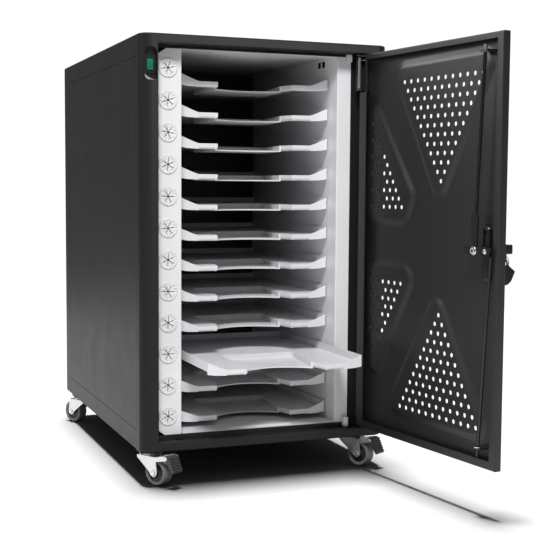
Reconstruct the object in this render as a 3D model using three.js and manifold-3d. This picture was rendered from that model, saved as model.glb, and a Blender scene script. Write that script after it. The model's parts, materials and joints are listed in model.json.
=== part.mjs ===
// Charging cabinet: a folded sheet-steel case on four swivel casters, with one
// perforated door on a two-rod lock, twelve pull-out trays, a cable panel with
// star-slit grommets and a lit power switch. Millimetres, +Z up.
//
// The model is laid out from the front left bottom corner of the case: X to the
// right, Y to the back, Z up from the underside of the case. The last lines move
// the whole group so that its origin is the middle of its footprint on the floor.
// The door stands open and tray 10 is pulled out, as the cabinet is shown.

import * as THREE from 'three';
import { mergeVertices } from 'three/addons/utils/BufferGeometryUtils.js';
import Module from 'manifold-3d';

// ---------- driving dimensions ----------
const W = 478, D = 686, H = 740;          // case
const FLOOR = -62;                        // floor below the case
const T = 1.5;                            // sheet
const R = 21, BACK_R = 3;                 // vertical edge radii at the front and at the back
const POST = 32.2;                        // width of a front post
const RAIL_TOP = 723, RAIL_BOTTOM = 17;   // opening between the rails
const FRONT = 34;                         // depth of the front frame's side return
const BACK_RETURN = 50;                   // side return of the rear panel
const SKIRT = 38, PAN = 36;               // heights of top cover skirt and base pan wall
const GAP = 0.3;                          // gap kept between neighbouring sheets

const DOOR = { x0: 34.2, x1: 444, z0: 19.3, z1: 721.5, t: 15 };
const HINGE = { x: 435, y: 5, open: 97.7 };
const LOCK = { x: 78, z: 374 };

const TRAY = { x0: 92, x1: 384, y0: 70, y1: 470, zTop: 46, pitch: 56.4, out: 165 };
const GROMMET = { x: 57.3, z: 58.7, pitch: 56.85, r: 18 };

const WHEEL = { r: 25, w: 22, trail: 22, z: FLOOR + 25 };
const CASTERS = {
  front_left: { x: 24, y: 31, dir: -60 },
  front_right: { x: 431, y: 44, dir: -60 },
  rear_left: { x: 19.5, y: 603, dir: 120 },
  rear_right: { x: 454, y: 603, dir: 120 },
};

// ---------- solids ----------
const wasm = await Module();
wasm.setup();

function solid(geometry) {
  const g = geometry.index ? geometry.toNonIndexed() : geometry.clone();
  g.deleteAttribute('normal');
  g.deleteAttribute('uv');
  // the same length always becomes the same number, so faces that should be flush are flush
  const p = g.attributes.position.array;
  for (let i = 0; i < p.length; i++) p[i] = Math.round(p[i] * 1000) / 1000;
  const m = mergeVertices(g, 1e-4);
  return new wasm.Manifold(new wasm.Mesh({
    numProp: 3,
    tolerance: 0.002,
    vertProperties: new Float32Array(m.attributes.position.array),
    triVerts: new Uint32Array(m.index.array),
  }));
}

function geometryOf(manifold) {
  const m = manifold.getMesh();
  const g = new THREE.BufferGeometry();
  g.setAttribute('position', new THREE.BufferAttribute(new Float32Array(m.vertProperties), 3));
  g.setIndex(new THREE.BufferAttribute(new Uint32Array(m.triVerts), 1));
  g.computeVertexNormals();
  return g;
}

const shapeOf = (pts, holes = []) => {
  const s = new THREE.Shape(pts.map(([a, b]) => new THREE.Vector2(a, b)));
  for (const h of holes) s.holes.push(new THREE.Path(h.map(([a, b]) => new THREE.Vector2(a, b))));
  return s;
};

// A prism: the outline is drawn in the plane across the axis and runs from a to b.
// Along z the outline is (x, y), along y it is (x, z), along x it is (y, z).
function prism(axis, pts, a, b, holes = []) {
  const g = new THREE.ExtrudeGeometry(shapeOf(pts, holes), { depth: b - a, bevelEnabled: false, curveSegments: 8 });
  const m = new THREE.Matrix4();
  if (axis === 'z') m.makeTranslation(0, 0, a);
  if (axis === 'y') m.set(1, 0, 0, 0, 0, 0, -1, b, 0, 1, 0, 0, 0, 0, 0, 1);
  if (axis === 'x') m.set(0, 0, 1, a, 1, 0, 0, 0, 0, 1, 0, 0, 0, 0, 0, 1);
  g.applyMatrix4(m);
  return solid(g);
}

function box(x0, x1, y0, y1, z0, z1) {
  const g = new THREE.BoxGeometry(x1 - x0, y1 - y0, z1 - z0);
  g.translate((x0 + x1) / 2, (y0 + y1) / 2, (z0 + z1) / 2);
  return solid(g);
}

const ring = (x, y, r, n = 16, start = 0) =>
  Array.from({ length: n }, (_, i) => {
    const a = start + (i * 2 * Math.PI) / n;
    return [x + r * Math.cos(a), y + r * Math.sin(a)];
  });

const arc = (x, y, r, from, to, n) =>
  Array.from({ length: n + 1 }, (_, i) => {
    const a = THREE.MathUtils.degToRad(from + ((to - from) * i) / n);
    return [x + r * Math.cos(a), y + r * Math.sin(a)];
  });

const rod = (axis, a, b, r, from, to, n = 16) => prism(axis, ring(a, b, r, n, Math.PI / n), from, to);
const join = (...s) => s.reduce((p, q) => p.add(q));
const cut = (p, ...s) => s.reduce((q, c) => q.subtract(c), p);

// Outline moved outwards by d with square corners; points run anticlockwise.
function grow(pts, d) {
  const n = pts.length;
  return pts.map((p, i) => {
    const a = pts[(i + n - 1) % n], c = pts[(i + 1) % n];
    const u = new THREE.Vector2(p[0] - a[0], p[1] - a[1]).normalize();
    const v = new THREE.Vector2(c[0] - p[0], c[1] - p[1]).normalize();
    const nu = new THREE.Vector2(u.y, -u.x), nv = new THREE.Vector2(v.y, -v.x);
    const k = d / (1 + nu.dot(nv));
    return [p[0] + (nu.x + nv.x) * k, p[1] + (nu.y + nv.y) * k];
  });
}

const anticlockwise = (pts) => (THREE.ShapeUtils.area(pts.map(([a, b]) => new THREE.Vector2(a, b))) < 0 ? [...pts].reverse() : pts);

// A round bar along a list of points.
function bar(points, r, sides, steps, tension = 0.5) {
  const curve = new THREE.CatmullRomCurve3(points.map((p) => new THREE.Vector3(...p)), false, 'catmullrom', tension);
  return solid(new THREE.ExtrudeGeometry(shapeOf(ring(0, 0, r, sides)), { steps, bevelEnabled: false, extrudePath: curve }));
}

const root = new THREE.Group();
const doorGroup = new THREE.Group();

function piece(name, manifold, color, roughness, metalness, parent = root) {
  const material = new THREE.MeshStandardMaterial({ color, roughness, metalness });
  const mesh = new THREE.Mesh(geometryOf(manifold), material);
  mesh.name = name;
  parent.add(mesh);
  return mesh;
}

const CHARCOAL = [0x4a4b4d, 0.5, 0.3];
const INNER = [0x343639, 0.55, 0.3];
const WHITE = [0xe6e7e9, 0.5, 0.1];
const TRAYWHITE = [0xdfe1e4, 0.5, 0.1];
const ZINC = [0xc9ccd0, 0.3, 0.9];
const CHROME = [0xdadcdf, 0.15, 1.0];
const BLACK = [0x17181a, 0.45, 0.2];

// ---------- case ----------
// Outline of the case with its four rounded vertical edges, cut at a depth range.
const outline = (inset = 0) => {
  const r = R - inset, b = BACK_R - inset;
  return [
    ...arc(R, R, r, 180, 270, 5), ...arc(W - R, R, r, 270, 360, 5),
    ...arc(W - BACK_R, D - BACK_R, b, 0, 90, 2), ...arc(BACK_R, D - BACK_R, b, 90, 180, 2),
  ];
};
const shell = (y0, y1, z0, z1) =>
  prism('z', outline(0), z0, z1, [outline(T).reverse()]).intersect(box(-5, W + 5, y0, y1, z0 - 1, z1 + 1));
const plate = (y0, y1, z0, z1) => prism('z', outline(0), z0, z1).intersect(box(-5, W + 5, y0, y1, z0 - 1, z1 + 1));

// Front frame: two folded posts, top and bottom rail, and the flange around the opening.
{
  const opening = box(POST, W - POST, -2, FRONT + 10, RAIL_BOTTOM, RAIL_TOP);
  let f = cut(shell(-1, FRONT, 0, H), opening);
  f = join(
    f,
    plate(-1, FRONT, H - T, H), plate(-1, FRONT, 0, T),
    box(POST - T, POST, 0.2, 30, 0.5, H - 0.5),                               // left post return
    box(W - POST, W - POST + T, 0.2, 30, 0.5, H - 0.5),                       // right post return
    box(POST - 0.5, W - POST + 0.5, 0.2, 30, RAIL_TOP, RAIL_TOP + T),         // web of the top rail
    box(POST - 0.5, W - POST + 0.5, 28.5, 30, RAIL_TOP - 4.7, RAIL_TOP + T),
    box(POST - 0.5, W - POST + 0.5, 0.2, 30, RAIL_BOTTOM - T, RAIL_BOTTOM),   // web of the bottom rail
    box(POST - 0.5, W - POST + 0.5, 28.5, 30, RAIL_BOTTOM - T, 24.2),
    box(415.5, W - POST + 0.5, 28.5, 30, RAIL_BOTTOM - T, RAIL_TOP + T),      // flange behind the hinge side
  );
  // recess for the power switch in the left post, with an arched top
  const recess = [[8.5, 659], [29.5, 659], [29.5, 706], ...arc(19, 706, 10.5, 20, 160, 6), [8.5, 706]];
  f = cut(f, prism('y', recess, -1, 10));
  f = join(f, cut(prism('y', grow(recess, 1.2), 0.6, 11.5), prism('y', recess, -1, 10)).intersect(prism('z', outline(0.2), 600, 720)));
  f = cut(f, box(11.2, 26.8, 9, 14, 672, 699));
  // holes for the hinge pins and the lock rods
  f = cut(f,
    rod('z', HINGE.x, HINGE.y, 3.3, RAIL_TOP - 1, RAIL_TOP + 3, 12),
    rod('z', HINGE.x, HINGE.y, 3.3, RAIL_BOTTOM - 3, RAIL_BOTTOM + 1, 12),
    box(64, 80, 13, 25, RAIL_TOP - 1, RAIL_TOP + 3),
    box(67, 83, 13, 25, RAIL_BOTTOM - 3, RAIL_BOTTOM + 1),
    rod('z', CASTERS.front_left.x, CASTERS.front_left.y, 4.3, -1, 3, 10));    // the caster's bolt
  piece('front_frame', f, ...CHARCOAL);
}

piece('top_cover', join(
  plate(FRONT + GAP, D + 1, H - T, H),
  shell(FRONT + GAP, D + 1, H - SKIRT + GAP, H - 0.5)), ...CHARCOAL);

{
  // base pan with a welded plate and a hole for each caster
  let p = join(plate(FRONT + GAP, D + 1, 0, T), shell(FRONT + GAP, D + 1, 0.5, PAN));
  for (const c of Object.values(CASTERS)) {
    const pad = [[c.x - 22, c.y - 22], [c.x + 22, c.y - 22], [c.x + 22, c.y + 22], [c.x - 22, c.y + 22]];
    p = join(p, prism('z', pad, -2, -GAP), prism('z', pad, -2, 0.5).intersect(box(0.5, W - 0.5, FRONT + 0.5, D, -3, 1)));
  }
  for (const c of Object.values(CASTERS)) p = cut(p, rod('z', c.x, c.y, 4.3, -3, 3, 10));
  piece('base_pan', p, ...CHARCOAL);
}

for (const [name, left] of [['left_side_panel', true], ['right_side_panel', false]]) {
  const x = (a, b, ...rest) => (left ? box(a, b, ...rest) : box(W - b, W - a, ...rest));
  const y0 = FRONT + GAP, y1 = D - BACK_RETURN - GAP;
  piece(name, join(
    x(0, T, y0, y1, PAN + GAP, H - SKIRT),
    x(1.2, 3.3, y0 + 12, y1 - 12, PAN + 2, PAN + 14), x(1.8, 3.3, y0 + 12, y1 - 12, PAN - 12, PAN + 6),
    x(1.2, 3.3, y0 + 12, y1 - 12, H - SKIRT - 14, H - SKIRT - 2), x(1.8, 3.3, y0 + 12, y1 - 12, H - SKIRT - 6, H - SKIRT + 12),
  ), ...CHARCOAL);
}

piece('rear_panel', cut(
  shell(D - BACK_RETURN, D + 1, PAN + GAP, H - SKIRT),
  box(45.7, 74.3, D - 3, D + 2, 108.7, 131.3)), ...CHARCOAL);

// ---------- inside of the case ----------
// Cable panel beside the trays, with a bent-back edge and a hole for each grommet.
const grommetZ = (k) => GROMMET.z + GROMMET.pitch * (12 - k);
{
  const o = [[51, 24.5], [82, 24.5], [82, 718], [54, 718], [32.5, 703], [32.5, 38]];
  const holes = Array.from({ length: 12 }, (_, i) => ring(GROMMET.x, grommetZ(i + 1), 15.2, 12).reverse());
  piece('cable_panel', join(prism('y', o, 30.3, 31.8, holes), box(80.5, 82, 31, 50, 24.5, 718)), ...WHITE);
}

// Star-slit grommets: a rim in front of the panel and a neck through it.
{
  const star = [];
  for (let i = 0; i < 6; i++) {
    const a = (Math.PI / 3) * i + 0.2, c = Math.cos(a), s = Math.sin(a), h = 0.5;
    star.push([11 * c + h * s, 11 * s - h * c], [11 * c - h * s, 11 * s + h * c]);
    const b = a + Math.PI / 6;
    star.push([1.1 * Math.cos(b), 1.1 * Math.sin(b)]);
  }
  const rim = prism('y', ring(0, 0, GROMMET.r, 16), 28.2, 30.0);
  const neck = prism('y', ring(0, 0, 14.6, 12), 29.9, 33.4);
  const body = cut(rim.add(neck), prism('y', anticlockwise(star), 27, 35));
  for (let k = 1; k <= 12; k++) {
    const m = piece(`grommet_${String(k).padStart(2, '0')}`, body, 0xcfd1cf, 0.8, 0);
    m.position.set(GROMMET.x, 0, grommetZ(k));
  }
}

const trayZ = (k) => TRAY.zTop + TRAY.pitch * (12 - k);

{
  // wall left of the trays with a ledge under each tray
  let d = box(82.5, 84, 52, 490, 26.3, 720.6);
  for (let k = 1; k <= 12; k++) d = d.add(box(83.5, 95.5, 112, 460, trayZ(k) - 5.3, trayZ(k) - 2.3));
  piece('left_divider', d, ...WHITE);
}

{
  // right wall, white front return, bay floor and ceiling, with a ledge under each tray and two door buffers
  let l = join(
    box(387, 388.5, 30.3, 490, 24.5, 722.5), box(387, 415.2, 30.3, 31.8, 24.5, 722.5), box(413.7, 415.2, 30.3, 44, 24.5, 722.5),
    box(84.4, 388, 31, 490, 24.5, 26), box(84.4, 388, 31, 490, 721, 722.5),
    box(402, 411, 17, 30.8, 708, 717.9), box(402, 411, 17, 30.8, 24.6, 36),
  );
  for (let k = 1; k <= 12; k++) l = l.add(box(380.5, 387.5, 112, 460, trayZ(k) - 5.3, trayZ(k) - 2.3));
  piece('bay_liner', l, ...WHITE);
}

piece('bay_back_panel', box(82.5, 388.5, 490.3, 491.8, 24.5, 722.5), ...INNER);

// Socket bar in the channel behind the cable panel, one socket for each tray.
{
  let s = box(20, 82.2, 440, 480, 66, 700);
  for (let i = 0; i < 12; i++) s = cut(s, box(34, 64, 439, 452, 78 + i * 51, 108 + i * 51));
  piece('power_strip', s, 0x222426, 0.5, 0.1);
}

piece('mains_inlet', cut(
  join(box(46, 74, 655, 687.5, 109, 131), box(41, 79, 686.3, 689, 104, 136)),
  box(48.5, 71.5, 672, 690, 112, 128)), 0x1b1c1e, 0.5, 0.1);

piece('mains_cable', join(
  bar([[60, 654.6, 120], [60, 620, 120], [54, 560, 92], [38, 480, 44], [30, 330, 42], [24, 130, 44], [19, 62, 90], [18, 50, 240], [18, 48, 480], [18, 47, 640], [19, 44, 672], [19, 37, 685], [19, 29.8, 686]], 3.5, 6, 34),
  bar([[18, 47, 628], [19, 58, 668], [24, 110, 706], [34, 260, 712], [44, 400, 714], [47, 448, 714], [47, 460, 708], [47, 461, 701.2]], 3.2, 6, 18),
), 0x151617, 0.6, 0);

// Power switch in the post's recess: bezel with its body, and the rocker in it.
piece('switch_bezel', cut(
  join(box(9.4, 28.6, 7.2, 9.7, 670, 701), box(11.5, 26.5, 9, 28, 672.3, 698.7)),
  box(13.2, 24.8, 5, 17, 675, 696)), ...BLACK);
// the rocker stands in its on position, tilted 6 degrees about a pivot at (11, 685.5)
const tilt = THREE.MathUtils.degToRad(-6);
const rockerProfile = [[-5, -9.6], [-1.5, -9.8], [4, -6.5], [4, 6.5], [-1.5, 9.8], [-5, 9.6], [-4, 0]]
  .map(([y, z]) => [11 + y * Math.cos(tilt) - z * Math.sin(tilt), 685.5 + y * Math.sin(tilt) + z * Math.cos(tilt)]);
piece('switch_rocker', prism('x', anticlockwise(rockerProfile), 13.6, 24.4), 0x0ea35a, 0.3, 0);

// ---------- trays ----------
{
  const { x0, x1, y0, y1 } = TRAY;
  const mid = [];
  // arched front edge between the two tabs, through (171,106), (237,133), (302,106)
  for (let i = 0; i <= 6; i++) {
    const s = i / 6, x = 171 + 131 * s;
    mid.push([x, 106 + 27 * Math.sin(Math.PI * s) ** 0.85]);
  }
  const low = anticlockwise([...mid, [315, 237], [171, 237]]);
  const plan = anticlockwise([[x0, y0], [164, y0], ...mid, [312, y0], [x1, y0], [x1, y1], [x0, y1]]);
  let t = cut(prism('z', plan, -2, 0), prism('z', low, -3, 1));
  t = join(t, prism('z', low, -11.5, -9.5), cut(prism('z', grow(low, 1), -11.5, 0), prism('z', grow(low, -1), -9.5, 1), box(173, 300, 60, 140, -9.5, 1)));
  const lip = (a, b, z0, z1) => {
    const u = new THREE.Vector2(b[0] - a[0], b[1] - a[1]).normalize().multiplyScalar(2);
    return prism('z', anticlockwise([a, b, [b[0] - u.y, b[1] + u.x], [a[0] - u.y, a[1] + u.x]]), z0, z1);
  };
  t = join(t,
    lip([x0, y0], [164, y0], -10, 0), lip([164, y0], [171, 106], -10, 0),
    lip([302, 106], [312, y0], -10, 0), lip([312, y0], [x1, y0], -10, 0));
  // the lip sweeps up to the side flanges
  for (const m of [0, 1]) {
    const q = (p) => (m ? p : p.map(([a, b]) => [x0 + x1 - a, b]));
    t = t.add(prism('y', anticlockwise(q([[350, -10], [370, -9], [x1, -7], [x1, 14], [350, 0]])), y0, y0 + 2));
  }
  t = join(t, box(x0, x0 + T, y0, y1, -2, 14), box(x1 - T, x1, y0, y1, -2, 14), box(x0, x1, y1 - T, y1, -2, 10));
  for (let k = 1; k <= 12; k++) {
    const m = piece(`tray_${String(k).padStart(2, '0')}`, t, ...TRAYWHITE);
    m.position.set(0, k === 10 ? -TRAY.out : 0, trayZ(k));
  }
}

// ---------- door, drawn closed ----------
{
  const { x0, x1, z0, z1, t } = DOOR;
  const P = ([u, z]) => [x1 - u, z];            // u is measured from the hinge edge
  const diamond = ([u, z]) => [[u + 4, z], [u, z + 4], [u - 4, z], [u, z - 4]].map(P);
  // pressed fields: outline and rows of holes
  const fields = [];
  const rightHoles = (zFirst, zLast) => {
    const h = [];
    for (let r = 0; r < 12; r++) {
      const n = 12 - r, z = zFirst + ((zLast - zFirst) * r) / 11;
      for (let i = 0; i < n; i++) h.push([241.1 + (i - (n - 1) / 2) * 19.7 + (r * 1.9) / 11, z]);
    }
    return h;
  };
  fields.push({ o: [[106, 685], [372, 689], [236, 459.5]], h: rightHoles(662, 486.4) });
  fields.push({ o: [[233, 285], [99, 73], [367, 70]], h: rightHoles(79.3, 256.5) });
  const leftHoles = (z, dz) => {
    const h = [];
    [6, 5, 5, 4, 4, 3, 3, 2, 2, 1, 1].forEach((n, r) => {
      for (let i = 0; i < n; i++) h.push([34.9 + i * 18.8 + (r % 2) * 9.4, z + dz * r]);
    });
    return h;
  };
  fields.push({ o: [[24.7, 640], [154.7, 462], [134.7, 419], [14.7, 423]], h: leftHoles(440, 15.2) });
  fields.push({ o: [[20.7, 325], [134.2, 329], [156.2, 314], [35.7, 109]], h: leftHoles(302, -15.2) });

  let p = box(x0, x1, 0, T, z0, z1);
  for (const f of fields) {
    const o = anticlockwise(f.o.map(P));
    const inside = (c) => o.every((a, i) => {
      const b = o[(i + 1) % o.length], [x, y] = P(c);
      return ((b[0] - a[0]) * (y - a[1]) - (b[1] - a[1]) * (x - a[0])) / Math.hypot(b[0] - a[0], b[1] - a[1]) > 4.6;
    });
    f.h = f.h.filter(inside);
    p = cut(p, prism('y', o, -1, T + 1));
    p = join(p, prism('y', grow(o, T), 0, 3.1, [[...o].reverse()]),
      prism('y', grow(o, T), 3, 4.5, f.h.map((c) => anticlockwise(diamond(c)).reverse())));
  }
  const lipCut = box(425, x1 + 1, 13, 16, 652, z1 - 0);
  p = join(p,
    box(x0, x0 + T, 0, t, z0, z1), box(x1 - T, x1, 0, t, z0, z1),
    box(x0, x1, 0, t, z1 - T, z1), box(x0, x1, 0, t, z0, z0 + T),
    cut(box(x0, x1, t - T, t, z0, z1), box(x0 + 14, x1 - 24, 10, 20, z0 + 14, z1 - 10), lipCut),
    // guides for the lock rods
    box(64, 84, 1, 23.5, 692.5, 695.5), box(62.5, 82.5, 1, 23.5, 50, 53));
  p = cut(p,
    rod('z', HINGE.x, HINGE.y, 3.3, z1 - 4, z1 + 2, 12), rod('z', HINGE.x, HINGE.y, 3.3, z0 - 2, z0 + 4, 12),
    rod('z', 74, 18.4, 3.9, 690, 698, 12), rod('z', 72.5, 18.4, 3.9, 48, 55, 12),
    rod('y', LOCK.x, LOCK.z, 7, -1, 4, 16));
  piece('door_panel', p, ...INNER, doorGroup);

  piece('upper_hinge_bracket', cut(join(
    box(440.7, 442.2, 1.8, 24, 655, 719.7), box(427, 442.2, 2.6, 24, 655, 658), box(427, 442.2, 2.6, 24, 717.2, 719.7)),
    rod('z', HINGE.x, HINGE.y, 3.3, 650, 725, 12)), ...INNER, doorGroup);
  piece('upper_hinge_pin', join(
    rod('z', HINGE.x, HINGE.y, 3, 651, 729, 12), rod('z', HINGE.x, 21.3, 2.6, 662, 715, 12),
    rod('y', HINGE.x, 712.2, 2.4, HINGE.y, 21.3, 8)), ...CHROME, doorGroup);
  piece('lower_hinge_pin', join(rod('z', HINGE.x, HINGE.y, 3, 9, 24.5, 12), rod('z', HINGE.x, HINGE.y, 3.3, 21.2, 25, 8)), ...CHROME, doorGroup);

  // lock: dished housing, handle outside, cam and two rods inside
  const stadium = (x, za, zb, r, n = 6) => [...arc(x, za, r, 180, 360, n), ...arc(x, zb, r, 0, 180, n)];
  piece('lock_housing', cut(join(
    prism('y', stadium(77, 331, 406, 10), 1.8, 10),
    prism('y', stadium(LOCK.x, 362, 386, 19), -3, -0.3),
    rod('y', LOCK.x, LOCK.z, 6.6, -1, 3, 16)),
    rod('y', LOCK.x, LOCK.z, 4.4, -5, 12, 12)), ...BLACK, doorGroup);
  piece('turn_handle', cut(join(
    rod('y', LOCK.x, LOCK.z, 4, -22, 21.5, 12), rod('y', LOCK.x, LOCK.z, 7.5, -22, -3.4, 12),
    box(62, 94, -38, -20, 368.2, 384), box(70, 86, -32, -28, 354.6, 370)),
    rod('y', LOCK.x, 362.6, 4.8, -34, -26, 10)), ...BLACK, doorGroup);
  piece('lock_cam', join(
    prism('y', [...arc(103, 374, 7, -90, 90, 5), ...arc(53, 374, 7, 90, 270, 5)], 21.8, 24.3),
    rod('y', 86, LOCK.z, 5, 24, 28, 6)), ...BLACK, doorGroup);

  // each rod slides along its own axis
  const link = (a, b, y, r) => {
    const v = new THREE.Vector3(b[0] - a[0], 0, b[1] - a[1]), len = v.length();
    const g = new THREE.CylinderGeometry(r, r, len, 10);
    g.applyQuaternion(new THREE.Quaternion().setFromUnitVectors(new THREE.Vector3(0, 1, 0), v.normalize()));
    g.translate((a[0] + b[0]) / 2, y, (a[1] + b[1]) / 2);
    return solid(g);
  };
  piece('upper_lock_rod', join(
    link(P([354.5, 426]), P([370.6, 704]), 18.4, 3),
    prism('y', anticlockwise([[344, 432], [363, 432], [360.5, 368], [350, 368]].map(P)), 18, 20.5)), ...BLACK, doorGroup);
  piece('lower_lock_rod', join(
    link(P([394, 366]), P([370.5, 38]), 18.4, 3),
    prism('y', ring(...P([391, 374]), 6.5, 12), 18, 20.5), box(50, 54.6, 18, 20.5, 362, 372)), ...BLACK, doorGroup);

  // padlock hanging from the handle's eye
  const body = [[-23, 349.5], [-37, 349.5], [-51.5, 339], [-43.5, 323], [-35.5, 317], [-24.5, 317], [-16.5, 323], [-8.5, 339]];
  piece('padlock_body', cut(
    prism('x', anticlockwise(body), 71.5, 84.5),
    rod('z', LOCK.x, -19.5, 2.9, 336, 352, 10), rod('z', LOCK.x, -40.5, 2.9, 336, 352, 10)), 0x1c1d1f, 0.35, 0.4, doorGroup);
  const hoop = [[LOCK.x, -19.5, 337], [LOCK.x, -19.5, 346], [LOCK.x, -19.5, 353]];
  for (const a of [150, 120, 90, 60, 30]) {
    const q = THREE.MathUtils.degToRad(a);
    hoop.push([LOCK.x, -30 - 10.5 * Math.cos(q), 354 + 10.5 * Math.sin(q)]);
  }
  const hoopPoints = [hoop[0], hoop[1], hoop[2],
    ...[30, 60, 90, 120, 150].map((a) => [LOCK.x, -30 + 10.5 * Math.cos(THREE.MathUtils.degToRad(a)), 354 + 10.5 * Math.sin(THREE.MathUtils.degToRad(a))]),
    [LOCK.x, -40.5, 353], [LOCK.x, -40.5, 346], [LOCK.x, -40.5, 337]];
  piece('padlock_shackle', bar(hoopPoints, 2.5, 6, 16), ...CHROME, doorGroup);
}
// the door group turns about its hinge pins
const hingeGroup = new THREE.Group();
hingeGroup.position.set(HINGE.x, HINGE.y, 0);
hingeGroup.rotation.z = THREE.MathUtils.degToRad(HINGE.open);
doorGroup.position.set(-HINGE.x, -HINGE.y, 0);
hingeGroup.add(doorGroup);
root.add(hingeGroup);

// ---------- casters, drawn about the swivel axis with the wheel trailing along +X ----------
{
  const { r, w, trail, z } = WHEEL;
  const cheek = [[-19, -9], [27, -9], [30.5, -37], [28, -42.5], [22, -45], [16, -42.5], [11, -36], [-19, -13]];
  const sides = (pts, t0, t1) => join(prism('y', pts, t0, t1), prism('y', pts, -t1, -t0));
  const fork = (braked) => {
    const c = w / 2 + 1.5;
    let f = join(
      rod('z', 0, 0, 20, -8.6, -2.3, 16), rod('z', 0, 0, 4, -8, 8, 8), rod('z', 0, 0, 6, 1.8, 7, 6),
      prism('z', [[-19, -c - 2.5], [27, -c - 2.5], [27, c + 2.5], [-19, c + 2.5]], -11, -8.5),
      sides(anticlockwise(cheek), c, c + 2.5),
      rod('y', trail, z, 4, -c - 4.5, c + 4.5, 8));
    if (braked) f = join(f,
      sides(anticlockwise([[24, -9], [25, -17], [50, -12], [56, -8], [54, -4], [46, -3.4], [26, -8]]), c, c + 2.5),
      rod('y', trail + 30.5, -7.6, 2, -c - 3.2, c + 3.2, 6));
    return f;
  };
  const profile = [[4.3, -11.5], [8, -11.5], [17.5, -9.5], [23, -11.2], [25, -8.5], [25, 8.5], [23, 11.2], [17.5, 9.5], [8, 11.5], [4.3, 11.5], [4.3, -11.5]];
  const wheelGeometry = new THREE.LatheGeometry(profile.map(([a, b]) => new THREE.Vector2(a, b)), 20);
  const wheel = solid(wheelGeometry);
  // ribbed brake pedal on its own pin
  const pedalProfile = [[49.4, -4.6], [53.5, -3.6], [57, -4.6]];
  for (let i = 0; i < 6; i++) {
    const s = (i + 0.5) / 6;
    pedalProfile.push([57 + 12 * s - 1.1, -4.6 - 26 * s + 1.4], [58.6 + 12 * s, -4.9 - 26 * s]);
  }
  pedalProfile.push([68.6, -32], [64.5, -33], [50, -10.8]);
  const pedal = cut(prism('y', anticlockwise(pedalProfile), -12, 12), rod('y', trail + 30.5, -7.6, 2.3, -14, 14, 8));

  for (const [name, c] of Object.entries(CASTERS)) {
    const braked = name.startsWith('front');
    const g = new THREE.Group();
    g.position.set(c.x, c.y, 0);
    g.rotation.z = THREE.MathUtils.degToRad(c.dir);
    root.add(g);
    piece(`${name}_caster_fork`, fork(braked), ...ZINC, g);
    const m = piece(`${name}_caster_wheel`, wheel, 0x8b8c8e, 0.7, 0, g);
    m.position.set(trail, 0, z);
    if (braked) piece(`${name}_brake_pedal`, pedal, ...BLACK, g);
  }
}

// ---------- origin: middle of the footprint, on the floor ----------
const CENTRE_X = 264.06, CENTRE_Y = 147.73;
root.position.set(-CENTRE_X, -CENTRE_Y, -FLOOR);
export default root;
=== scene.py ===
import bpy
import bmesh
import json
import math
import random
from mathutils import Matrix, Vector

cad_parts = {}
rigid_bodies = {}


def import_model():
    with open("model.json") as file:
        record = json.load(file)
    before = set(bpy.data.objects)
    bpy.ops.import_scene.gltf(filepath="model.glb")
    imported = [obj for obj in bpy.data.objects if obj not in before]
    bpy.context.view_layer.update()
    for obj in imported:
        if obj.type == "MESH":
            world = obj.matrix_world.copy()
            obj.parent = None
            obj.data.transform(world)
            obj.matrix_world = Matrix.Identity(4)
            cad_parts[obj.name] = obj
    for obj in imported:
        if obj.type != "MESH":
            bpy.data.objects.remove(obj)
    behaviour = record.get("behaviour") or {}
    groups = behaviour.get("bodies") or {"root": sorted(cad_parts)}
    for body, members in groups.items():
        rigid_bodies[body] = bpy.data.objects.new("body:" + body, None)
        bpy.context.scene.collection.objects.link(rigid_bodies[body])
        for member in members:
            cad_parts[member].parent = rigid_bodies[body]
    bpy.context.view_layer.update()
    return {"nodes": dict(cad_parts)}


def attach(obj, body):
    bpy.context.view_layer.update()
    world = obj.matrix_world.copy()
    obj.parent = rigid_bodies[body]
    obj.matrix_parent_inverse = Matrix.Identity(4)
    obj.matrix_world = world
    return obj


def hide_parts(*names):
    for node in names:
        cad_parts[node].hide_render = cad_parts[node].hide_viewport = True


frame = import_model()
scene = bpy.context.scene
NODES = frame["nodes"]
random.seed(7)

# ---------------------------------------------------------------- camera
cam = bpy.data.cameras.new("camera")
cam.sensor_fit = "HORIZONTAL"
cam.sensor_width = 36.0
cam.lens = 36.0 * 1142.957 / 560.0
cam.clip_end = 200.0
cam_ob = bpy.data.objects.new("camera", cam)
scene.collection.objects.link(cam_ob)
cam_ob.matrix_world = Matrix((
    (0.930301, 0.023078, -0.366069, -0.771508),
    (-0.366727, 0.077969, -0.927056, -2.095609),
    (0.007147, 0.996689, 0.080998, 0.536422),
    (0, 0, 0, 1)))
scene.camera = cam_ob

# ---------------------------------------------------------------- placing
# Everything is drawn in millimetres from the front left bottom corner of the case.
CASE = Matrix.Scale(0.001, 4) @ Matrix.Translation((-264.06, -147.73, 62.0))
DOOR = CASE @ Matrix.Translation((435, 5, 0)) @ Matrix.Rotation(math.radians(97.7), 4, "Z") @ Matrix.Translation((-435, -5, 0))
CASTERS = {"front_left": (24, 31, -60), "front_right": (431, 44, -60), "rear_left": (19.5, 603, 120), "rear_right": (454, 603, 120)}
W, D, H, R, T = 478.0, 686.0, 740.0, 21.0, 1.5


# ---------------------------------------------------------------- meshes
def link(me, name="solid"):
    ob = bpy.data.objects.new(name, me)
    scene.collection.objects.link(ob)
    return ob


def remove(ob):
    me = ob.data
    bpy.data.objects.remove(ob)
    bpy.data.meshes.remove(me)


def from_bm(bm):
    bmesh.ops.recalc_face_normals(bm, faces=bm.faces[:])
    me = bpy.data.meshes.new("solid")
    bm.to_mesh(me)
    bm.free()
    return link(me)


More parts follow.
